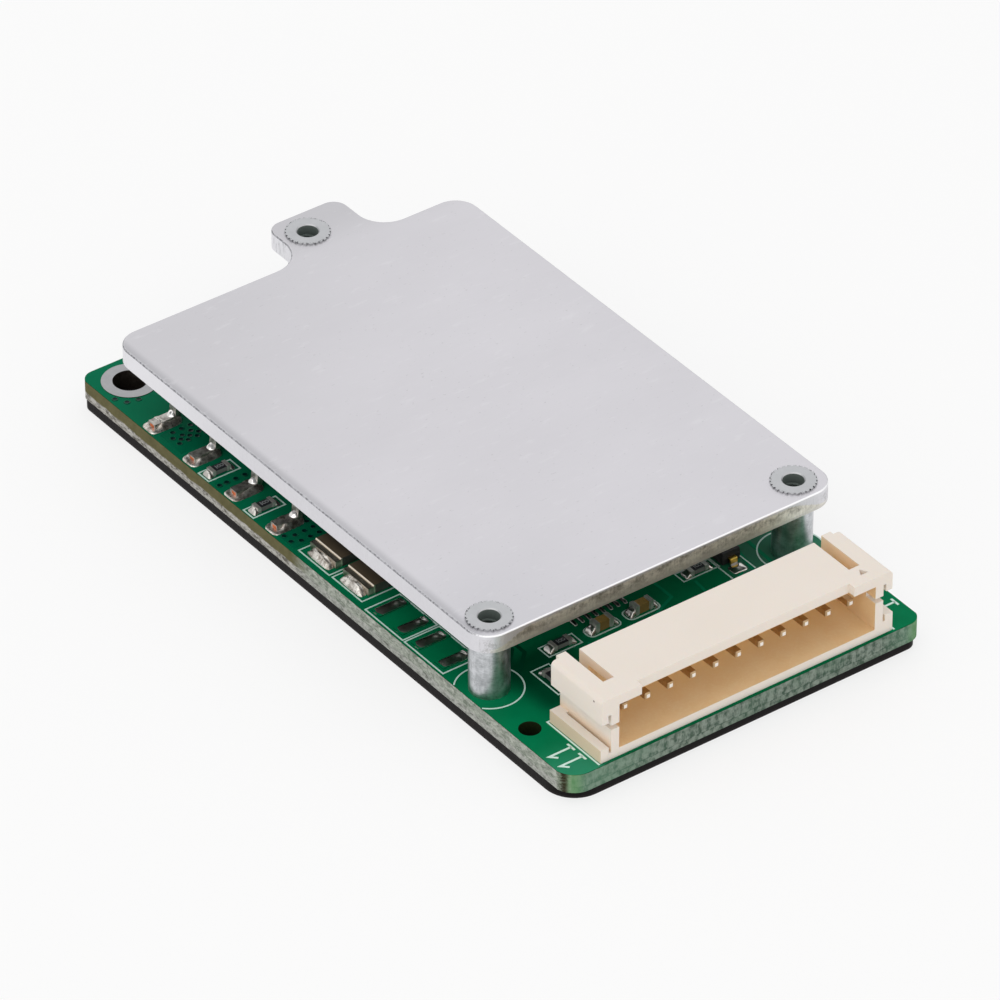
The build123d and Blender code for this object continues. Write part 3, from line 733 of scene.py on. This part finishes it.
dress("circuit_board", laminate_finish())
dress("backing_sheet", backing_finish())
dress("heat_spreader", plate_finish())
for corner in standoffs:
    dress(f"standoff_{corner}", standoff_finish(f"standoff_{corner}"))
dress("connector_housing", housing_finish())
for number in range(1, pin_count + 1):
    dress(f"connector_pin_{number:02d}", pin_finish(f"connector_pin_{number:02d}"))
case = epoxy_finish("moulded_case", (30, 30, 31), (46, 46, 47))
tab = lead_finish("plated_lead")
silicone = pad_finish()
for number in (1, 2):
    dress(f"mosfet_{number}_case", case)
    dress(f"mosfet_{number}_drain_tab", tab)
    dress(f"thermal_pad_{number}", silicone)
    dress(f"shunt_{number}", shunt_finish(f"shunt_skin_{number}", f"shunt_{number}"))
for number, kind in power_feet:
    foot = f"mosfet_{number}_{kind}_lead"
    dress(foot, lead_finish("plated_" + foot, foot))

chip_looks = {
    "resistor": {
        "cap": 0.3,
        "coat": ((22, 24, 28), (34, 36, 42)),
        "ceramic": ((108, 110, 108), (134, 136, 133)),
        "coat_roughness": 0.35,
    },
    "capacitor": {
        "cap": 0.38,
        "coat": ((112, 96, 34), (196, 156, 84)),
        "ceramic": ((128, 100, 50), (152, 122, 68)),
        "coat_roughness": 0.45,
    },
}
for kind, count in (("resistor", 5), ("capacitor", 2)):
    for number in range(1, count + 1):
        chip = f"chip_{kind}_{number}"
        axis = 1 if chip == "chip_resistor_5" else 0
        dress(chip, chip_finish(f"{kind}_skin_{number}", chip, axis, **chip_looks[kind]))
dress("controller_body", epoxy_finish("controller_mould", (26, 27, 28), (40, 41, 43)))
dress("controller_leads", lead_finish("controller_lead"))
dress("diode_body", epoxy_finish("diode_mould", (24, 23, 24), (38, 36, 36)))
dress("diode_leads", diode_lead_finish())


# Added pieces


def new_piece(name, mesh_maker, finish, smooth=True):
    """A mesh made in millimetres in the shared frame, riding on the board."""
    bm = bmesh.new()
    mesh_maker(bm)
    bmesh.ops.recalc_face_normals(bm, faces=bm.faces)
    bmesh.ops.scale(bm, vec=(mm, mm, mm), verts=bm.verts)
    mesh = bpy.data.meshes.new(name)
    bm.to_mesh(mesh)
    bm.free()
    for face in mesh.polygons:
        face.use_smooth = smooth
    piece = bpy.data.objects.new(name, mesh)
    bpy.context.scene.collection.objects.link(piece)
    mesh.materials.append(finish.material)
    if smooth:
        mesh.set_sharp_from_angle(angle=math.radians(50))
    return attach(piece, "root")


def wrap(bm, rows):
    """Four-sided faces between each ring of corners and the next."""
    for near, far in zip(rows, rows[1:]):
        for i in range(len(near)):
            j = (i + 1) % len(near)
            bm.faces.new((near[i], near[j], far[j], far[i]))


def close_dome(bm, rows, tip):
    """A fan of faces from the last ring to the tip, and one face over the first ring."""
    ring = rows[-1]
    for i in range(len(ring)):
        bm.faces.new((ring[i], ring[(i + 1) % len(ring)], tip))
    bm.faces.new(rows[0][::-1])


def arc(middle, radius, start, end, steps=24):
    """Points on an arc, in degrees."""
    points = []
    for i in range(steps + 1):
        angle = math.radians(start + (end - start) * i / steps)
        x, y = radius * math.cos(angle), radius * math.sin(angle)
        points.append((middle[0] + x, middle[1] + y))
    return points


def circle(middle, radius, steps):
    return arc(middle, radius, 0, 360, steps)[:-1]


def stroke(bm, points, width, closed=False, base=board_top, thick=print_thick):
    """A flat printed line of even width, mitred at its corners."""
    count = len(points)
    half_width = width / 2
    sharpest = 0.35  # keeps a mitre from running far out at a sharp corner
    rows = []
    for i, point in enumerate(points):
        here = Vector(point)
        before = Vector(points[i - 1]) if i or closed else None
        after = Vector(points[(i + 1) % count]) if i < count - 1 or closed else None
        back = (here - before).normalized() if before is not None else None
        ahead = (after - here).normalized() if after is not None else back
        back = ahead if back is None else back
        left = Vector((-back.y - ahead.y, back.x + ahead.x)).normalized()
        reach = half_width / max(sharpest, left.dot(Vector((-ahead.y, ahead.x))))
        corners = []
        for side, level in ((1, -sunk), (1, thick), (-1, thick), (-1, -sunk)):
            at = here + left * reach * side
            corners.append(bm.verts.new((at.x, at.y, base + level)))
        rows.append(corners)
    if closed:
        wrap(bm, rows + rows[:1])
    else:
        wrap(bm, rows)
        bm.faces.new(rows[0])
        bm.faces.new(rows[-1][::-1])


def frame_line(bm, low, high, width=0.12):
    stroke(bm, [low, (high[0], low[1]), high, (low[0], high[1])], width, True)


def mound(
    bm, middle, half, height, square=4.0, base=board_top, rings=9, around=32, seed=0.0, shape=None
):
    """A drop of solder on a rounded-corner pad. shape gives its height from 0 to 1."""

    def rim(angle):
        c, s = math.cos(angle), math.sin(angle)
        return (
            math.copysign(abs(c) ** (2 / square), c),
            math.copysign(abs(s) ** (2 / square), s),
        )

    def crown(u, v, r):
        return math.sqrt(max(0.0, 1 - r * r))

    shape = shape or crown
    foot = base - 0.015
    rows = []
    for ring in range(rings):
        r = 1 - (ring / rings) ** 1.5
        row = []
        for step in range(around):
            u, v = rim(2 * math.pi * step / around)
            u, v = u * r, v * r
            uneven = noise.noise(Vector((u * 1.7 + seed, v * 1.7, seed * 3.1)))
            swell = 1 + 0.03 * uneven
            lift = shape(u, v, r) * (1 + 0.18 * uneven)
            place = (
                middle[0] + half[0] * u * swell,
                middle[1] + half[1] * v * swell,
                foot + height * lift,
            )
            row.append(bm.verts.new(place))
        rows.append(row)
    tip = bm.verts.new((middle[0], middle[1], foot + height * shape(0, 0, 0)))
    wrap(bm, rows)
    close_dome(bm, rows, tip)


def end_fillet(bm, face_at, direction, across, axis, wide, tall, reach, seed):
    """Solder that wets the end of a part and runs out on its pad in a rounded drop."""
    tuck = 0.12
    half_length = (reach + tuck) / 2
    half_wide = wide / 2
    centre = face_at + direction * (reach - tuck) / 2

    def climb(u, v, r):
        out = max(0.0, min(1.0, (1 + u * direction) / 2))
        drop = max(0.0, 1 - out**1.8) ** 0.75
        return drop * max(0.0, 1 - abs(v) ** 2.4) ** 0.5 * max(0.0, 1 - r**9) ** 0.5

    def turned_climb(u, v, r):
        return climb(v, u, r)

    if axis == 0:
        middle, half, shape = (centre, across), (half_length, half_wide), climb
    else:
        middle, half, shape = (across, centre), (half_wide, half_length), turned_climb
    mound(bm, middle, half, tall, 3.6, rings=12, around=40, seed=seed, shape=shape)


def printed_lines(bm):
    """The white guide lines printed round the parts."""
    for low, high, width in (
        # round the two chip resistors at the left
        ((-15.60, 13.60), (-12.80, 14.90), 0.12),
        ((-15.58, 8.02), (-12.75, 9.27), 0.12),
        # round each two wire pads
        ((-15.50, -10.14), (-12.45, -5.63), 0.12),
        ((-15.50, -14.97), (-12.45, -10.36), 0.12),
        # round the three chip resistors at the front
        ((-8.35, -17.90), (-5.42, -16.62), 0.11),
        ((4.70, -16.55), (7.85, -15.42), 0.11),
        ((-10.42, -21.74), (-8.84, -18.49), 0.11),
    ):
        frame_line(bm, low, high, width)
    for line, width in (
        # round the shunts, open under the plate
        ([(-7.1, -0.81), (-15.20, -0.81), (-15.20, 2.92), (-7.1, 2.92)], 0.12),
        ([(-7.1, -4.75), (-15.15, -4.75), (-15.15, -1.12), (-7.1, -1.12)], 0.12),
        # beside the diode
        ([(7.72, -18.30), (7.72, -12.6)], 0.12),
        ([(9.82, -18.27), (9.82, -12.6)], 0.12),
        ([(7.72, -12.6), (9.82, -12.6)], 0.12),
        # at the two ends of the socket
        ([(-12.94, -29.85), (-12.94, -23.80), (-12.1, -23.80)], 0.14),
        ([(13.25, -29.85), (13.25, -23.80), (12.4, -23.80)], 0.14),
        # round the left and the rear standoff, open where the line isn't printed
        (arc((-13.8, -18.15), 2.5, -138, 138, 60), 0.12),
        (arc((3.55, 27.9), 2.5, 120, 420, 60), 0.14),
    ):
        stroke(bm, line, width)
    stroke(bm, circle((13.2, -18.15), 2.5, 72), 0.12, True)
    # round the chip capacitors, with round corners
    r = 0.42
    for left, right, low, high in ((-4.65, -1.80, -17.90, -16.75), (-1.20, 1.65, -17.95, -16.75)):
        line = arc((left + r, high - r), r, 90, 180, 6) + arc((left + r, low + r), r, 180, 270, 6)
        line += arc((right - r, low + r), r, 270, 360, 6)
        line += arc((right - r, high - r), r, 0, 90, 6)
        stroke(bm, line, 0.12, True)


def printed_numbers(bm):
    """Plain pin numbers at the two ends of the socket: 1 at the right, 11 at the left."""
    width = 0.18
    for middle, base_x, top_x in (
        (-28.35, -13.30, -15.25),
        (-27.05, -13.30, -15.25),
        (-27.35, 15.30, 13.35),
    ):
        flag = [(top_x + 0.50, middle - 0.46), (top_x + 0.04, middle), (base_x, middle)]
        stroke(bm, flag, width)
        stroke(bm, [(base_x, middle - 0.42), (base_x, middle + 0.42)], width)


def lead_solder(bm):
    """Solder on the wide pads of the power leads and the shunts."""
    seed = 1.0
    for number in (1, 2):
        for kind in ("gate", "source"):
            low, high = box_mm(f"mosfet_{number}_{kind}_lead")
            seed += 1.7

            def bath(u, v, r):
                beside = min(1.0, max(0.0, (1 - abs(v)) / 0.45))
                toe = min(1.0, max(0.0, (u + 0.75) / 0.5))
                lean = 1.0 + 0.35 * math.sin(5 * u + seed)
                skirt = 0.30 * max(0.0, 1 - r**6) ** 0.5
                ridge = 0.62 * (beside**1.2) * (toe**1.6) * lean * max(0.0, 1 - r**10) ** 0.5
                return skirt + ridge

            pad = (-14.20, (low.y + high.y) / 2)
            half = (1.42, 0.84)
            mound(bm, pad, half, 0.46, 4.6, rings=18, around=56, seed=seed, shape=bath)
        low, high = box_mm(f"mosfet_{number}_drain_tab")
        pad = (high.x + 0.25, (low.y + high.y) / 2)
        mound(bm, pad, (0.75, (high.y - low.y) / 2 + 0.35), 0.32, 7.0, seed=seed + 4)
    for number in (1, 2):
        low, high = box_mm(f"shunt_{number}")
        middle = (low.y + high.y) / 2
        end_fillet(bm, low.x, -1, middle, 0, 2.75, 0.62, 0.62, seed + number)
        end_fillet(bm, high.x, 1, middle, 0, 2.75, 0.62, 0.62, seed + number + 5)


def solder_beads(bm):
    """The bright bead in the bend of each power lead."""

    def bead(u, v, r):
        return max(0.0, (1 + 0.6 * u) / 1.6) * max(0.0, 1 - r**2.3) ** 0.5

    on_strip = 2.98
    for count, (number, kind) in enumerate(power_feet):
        low, high = box_mm(f"mosfet_{number}_{kind}_lead")
        bend = (-13.28, (low.y + high.y) / 2)
        mound(bm, bend, (0.46, 0.40), 0.55, 2.4, on_strip, 12, 36, 1.7 * count, bead)


def solder_joints(bm):
    """Small bright joints: wire pads, chip parts, diode, socket feet and controller legs."""

    def knobbed(u, v, r):
        knob = math.exp(-((u - 0.45) ** 2) / 0.06 - (v + 0.1) ** 2 / 0.25)
        return max(0.0, 1 - r**2.0) ** 0.8 * (0.7 + 0.9 * knob)

    seed = 7.8
    for row in wire_pad_rows:
        seed += 2.3
        pad, half = (-13.85, row), (1.38, 0.55)
        mound(bm, pad, half, 0.26, 7.0, rings=14, around=48, seed=seed, shape=knobbed)
    for name, axis, reach in (
        ("chip_resistor_1", 0, 0.42),
        ("chip_resistor_2", 0, 0.42),
        ("chip_resistor_3", 0, 0.45),
        ("chip_resistor_4", 0, 0.45),
        ("chip_resistor_5", 1, 0.45),
        ("chip_capacitor_1", 0, 0.50),
        ("chip_capacitor_2", 0, 0.50),
    ):
        seed += 1.9
        low, high = box_mm(name)
        side = 1 - axis
        middle = (low[side] + high[side]) / 2
        tall = min(0.60, (high.z - low.z) * 0.95)
        end_fillet(bm, low[axis], -1, middle, axis, 0.98, tall, reach, seed)
        end_fillet(bm, high[axis], 1, middle, axis, 0.98, tall, reach, seed + 0.7)
    for row in diode_foot_rows:
        mound(bm, (diode_x, row), (0.62, 0.52), 0.2, 5.0, seed=row)
    for number in range(pin_count):
        foot = (first_pin_x + pin_pitch * number, -22.15)
        mound(bm, foot, (0.42, 0.95), 0.26, 4.0, seed=number * 2.7)
    low, high = box_mm("controller_leads")
    leg_width = 0.35
    for leg in range(controller_legs):
        x = low.x + leg_width / 2 + (high.x - low.x - leg_width) * leg / (controller_legs - 1)
        mound(bm, (x, low.y - 0.12), (0.17, 0.56), 0.17, 4.0, rings=8, around=20, seed=leg)
        mound(bm, (x, high.y - 0.2), (0.19, 0.42), 0.12, 4.0, rings=6, around=20, seed=leg + 9)


via_places = (
    # in groups between the power leads, from the rear
    (-13.03, 19.55), (-13.85, 19.45), (-14.65, 19.50), (-13.83, 18.72), (-14.62, 18.69),
    (-13.02, 18.74), (-12.62, 19.12), (-13.42, 19.10), (-14.22, 19.08), (-12.65, 20.15),
    (-12.2, 19.5), (-12.2, 18.72), (-13.45, 20.15), (-14.25, 20.12),
    (-12.99, 12.75), (-13.80, 12.75), (-14.60, 12.75), (-15.24, 12.75),
    (-12.70, 5.42), (-13.50, 5.40), (-14.35, 5.38), (-12.72, 4.62), (-13.52, 4.60),
    (-14.36, 4.58), (-12.74, 3.82), (-13.54, 3.80), (-14.37, 3.76), (-15.05, 4.95),
    (-15.05, 4.10),
    # by the fixing hole
    (-15.25, 26.10), (-14.75, 25.25), (-13.85, 25.05),
    # at the ends of the tracks, and under the plate
    (-2.4, -19.6), (4.1, -19.3), (11.1, -20.9), (-5.6, -14.2), (-6.4, -11.6),
    (1.6, -14.6), (2.3, -12.9), (13.9, 21.4), (13.1, 20.6), (13.9, 19.8),
    (12.4, 14.1), (13.2, 13.3), (14.0, 12.5), (13.8, 2.2), (13.0, -6.4), (14.2, -9.1),
    (6.5, 28.6), (8.9, 27.7),
)


def vias(bm):
    """Plated through holes closed with lacquer: a low ring with a dimple in it."""
    around = 20
    profile = ((0.27, -sunk), (0.235, 0.040), (0.205, 0.046), (0.175, 0.026))
    dimple = 0.022
    angles = [2 * math.pi * i / around for i in range(around)]
    for x, y in via_places:
        rows = []
        for radius, level in profile:
            z = board_top + level
            rows.append(
                [
                    bm.verts.new((x + radius * math.cos(a), y + radius * math.sin(a), z))
                    for a in angles
                ]
            )
        tip = bm.verts.new((x, y, board_top + dimple))
        wrap(bm, rows)
        close_dome(bm, rows, tip)


tracks = (
    ([(-11.6, -17.4), (-9.9, -15.6), (-9.9, -13.2), (-8.6, -11.9), (-5.6, -11.9)], 0.3),
    ([(-11.2, -18.2), (-9.4, -16.4), (-9.4, -13.6), (-8.3, -12.5), (-5.6, -12.5)], 0.3),
    ([(-9.85, -21.9), (-9.1, -20.4), (-6.2, -19.4), (-5.0, -18.2)], 0.25),
    ([(-7.85, -21.2), (-6.6, -19.9), (-2.4, -19.6)], 0.25),
    ([(-1.85, -21.2), (-1.0, -19.2), (2.9, -17.4), (2.9, -13.9), (0.4, -11.4)], 0.25),
    ([(0.15, -21.2), (1.2, -19.7), (4.1, -19.3)], 0.25),
    ([(4.15, -21.2), (5.2, -18.9), (5.4, -16.9)], 0.25),
    ([(6.15, -21.2), (7.0, -19.4), (8.77, -18.0)], 0.3),
    ([(10.15, -21.4), (11.1, -20.9), (11.4, -14.4), (12.9, -12.9), (12.9, -6.4)], 0.3),
    (
        [(8.15, -21.2), (9.4, -19.2), (10.5, -13.6), (12.0, -12.1), (12.0, -1.0), (13.8, 2.2)],
        0.3,
    ),
    ([(13.9, 21.4), (13.9, 14.3), (13.2, 13.3), (13.2, 4.0)], 0.35),
)
copper_areas = (
    [(-11.3, 22.9), (-11.3, 17.6), (-15.2, 17.6), (-15.2, 20.4), (-13.0, 20.7), (-12.4, 22.9)],
    [(-11.3, 6.9), (-11.3, 3.3), (-15.35, 3.3), (-15.35, 5.6), (-12.6, 5.7), (-12.6, 6.9)],
    [(1.4, 24.6), (1.4, -1.4), (6.9, -1.4), (8.6, 0.4), (8.6, 24.6)],
    [(9.3, 24.9), (9.3, 8.4), (11.6, 8.4), (11.6, 24.9)],
)


def copper_under_lacquer(bm):
    """Copper tracks and areas, which stand a hair proud under the lacquer."""
    for line, width in tracks:
        stroke(bm, line, width, thick=copper_thick)
    for outline in copper_areas:
        low_rim = [bm.verts.new((x, y, board_top - sunk)) for x, y in outline]
        high_rim = [bm.verts.new((x, y, board_top + copper_thick)) for x, y in outline]
        wrap(bm, [low_rim, high_rim])
        bm.faces.new(high_rim)
        bm.faces.new(low_rim[::-1])


def resistor_numbers(bm):
    """The plain number 100 on four of the chip resistors."""
    width, thick = 0.06, 0.01
    for number in range(1, 5):
        low, high = box_mm(f"chip_resistor_{number}")
        x, y, top = (low.x + high.x) / 2, (low.y + high.y) / 2, high.z
        one = [(x - 0.24, y - 0.2), (x - 0.24, y + 0.2)]
        stroke(bm, one, width, base=top, thick=thick)
        for nought in (x, x + 0.25):
            stroke(bm, circle((nought, y), 0.13, 14), width, True, base=top, thick=thick)


def standoff_threads(bm):
    """The cut thread in the three standoff bores, one helical ridge in each."""
    pitch, steps = 0.4, 20
    wall, depth = 0.81, 0.085
    for corner in standoffs:
        low, high = box_mm(f"standoff_{corner}")
        x, y = (low.x + high.x) / 2, (low.y + high.y) / 2
        turns = int((high.z - low.z - 0.6) / pitch)
        rows = []
        for i in range(turns * steps + 1):
            angle = 2 * math.pi * i / steps
            level = low.z + 0.25 + pitch * i / steps
            run_in = min(1.0, 0.1 + i / steps, 0.1 + (turns * steps - i) / steps)
            crest = wall - depth * run_in
            rows.append(
                [
                    bm.verts.new((x + r * math.cos(angle), y + r * math.sin(angle), level + rise))
                    for r, rise in ((wall, -0.13), (crest, -0.03), (crest, 0.03), (wall, 0.13))
                ]
            )
        wrap(bm, rows)
        bm.faces.new(rows[0])
        bm.faces.new(rows[-1][::-1])


ink = ink_finish()
new_piece("printed_lines", printed_lines, ink, smooth=False)
new_piece("printed_numbers", printed_numbers, ink, smooth=False)
new_piece("lead_solder", lead_solder, dull_solder_finish())
new_piece("solder_joints", solder_joints, solder_finish())
new_piece("solder_beads", solder_beads, painted_highlight_bead_finish())
new_piece("vias", vias, via_finish())
new_piece(
    "copper_under_lacquer",
    copper_under_lacquer,
    copper_lacquer_finish(),
    smooth=False,
)
new_piece(
    "resistor_numbers", resistor_numbers, number_ink_finish(), smooth=False
)
new_piece("standoff_threads", standoff_threads, bore_finish())


# Camera, lamps, world and floor, in metres


def add_to_scene(name, data):
    holder = bpy.data.objects.new(name, data)
    bpy.context.scene.collection.objects.link(holder)
    return holder


def place_camera(place, turn, tilt, lens):
    """A level camera, turned round the board and tilted down on it, in degrees."""
    camera = bpy.data.cameras.new("camera")
    camera.sensor_width = 36.0
    camera.lens = lens
    camera.clip_start = 0.01
    camera.clip_end = 10.0
    turn, tilt = math.radians(turn), math.radians(tilt)
    back = Vector(
        (math.sin(turn) * math.cos(tilt), -math.cos(turn) * math.cos(tilt), math.sin(tilt))
    )
    right = Vector((0, 0, 1)).cross(back).normalized()
    up = back.cross(right)
    holder = add_to_scene("camera", camera)
    holder.matrix_world = Matrix(
        [(right[i], up[i], back[i], place[i]) for i in range(3)] + [(0, 0, 0, 1)]
    )
    bpy.context.scene.camera = holder


def lamp(name, place, size, power, tint):
    """A wide soft lamp, aimed at the middle of the board."""
    light = bpy.data.lights.new(name, "AREA")
    light.shape = "RECTANGLE"
    light.size, light.size_y = size
    light.energy = power
    light.color = tint
    holder = add_to_scene(name, light)
    holder.location = place
    holder.rotation_euler = (-Vector(place)).to_track_quat("-Z", "Y").to_euler()


def plain_world():
    """Even light from all round, with white behind the board."""
    world = bpy.data.worlds.new("studio")
    bpy.context.scene.world = world
    w = Graph(world)
    strength = blend(w.shown(), 0.66, 1.0)
    sky = w.node("Background", {}, {"Color": grey(0.8), "Strength": strength})
    w.node("OutputWorld", {}, {"Surface": sky})


def floor_finish():
    """Pale floor that keeps the board's shadow."""
    f = Finish("pale_floor", Roughness=0.9, Base_Color=grey(0.93))
    glow = f.node("Emission", {}, {})
    mixed = f.node("MixShader", {}, {0: f.shown() * 0.75, 1: f.surface, 2: glow})
    f.feed(f.output.inputs["Surface"], mixed)
    return f


def lay_floor(half_side, gap):
    """A floor a hair below the board."""
    bm = bmesh.new()
    bmesh.ops.create_grid(bm, x_segments=8, y_segments=8, size=half_side)
    mesh = bpy.data.meshes.new("floor")
    bm.to_mesh(mesh)
    bm.free()
    mesh.materials.append(floor_finish().material)
    floor = add_to_scene("floor", mesh)
    floor.location.z = -gap


place_camera((-0.30490, -0.41171, 0.37899), -36.577, 36.344, 316.3)
lamp("key_softbox", (-0.60, -0.15, 0.50), (1.20, 1.20), 2.8, (1.0, 0.985, 0.965))
lamp("top_softbox", (0.25, 0.38, 0.70), (1.60, 1.60), 2.8, (0.97, 0.98, 1.0))
lamp("front_fill", (0.25, -0.65, 0.36), (1.50, 0.90), 1.7, (1.0, 0.97, 0.94))
plain_world()
lay_floor(3.0, 0.00003)
bpy.context.scene.view_settings.view_transform = "Standard"
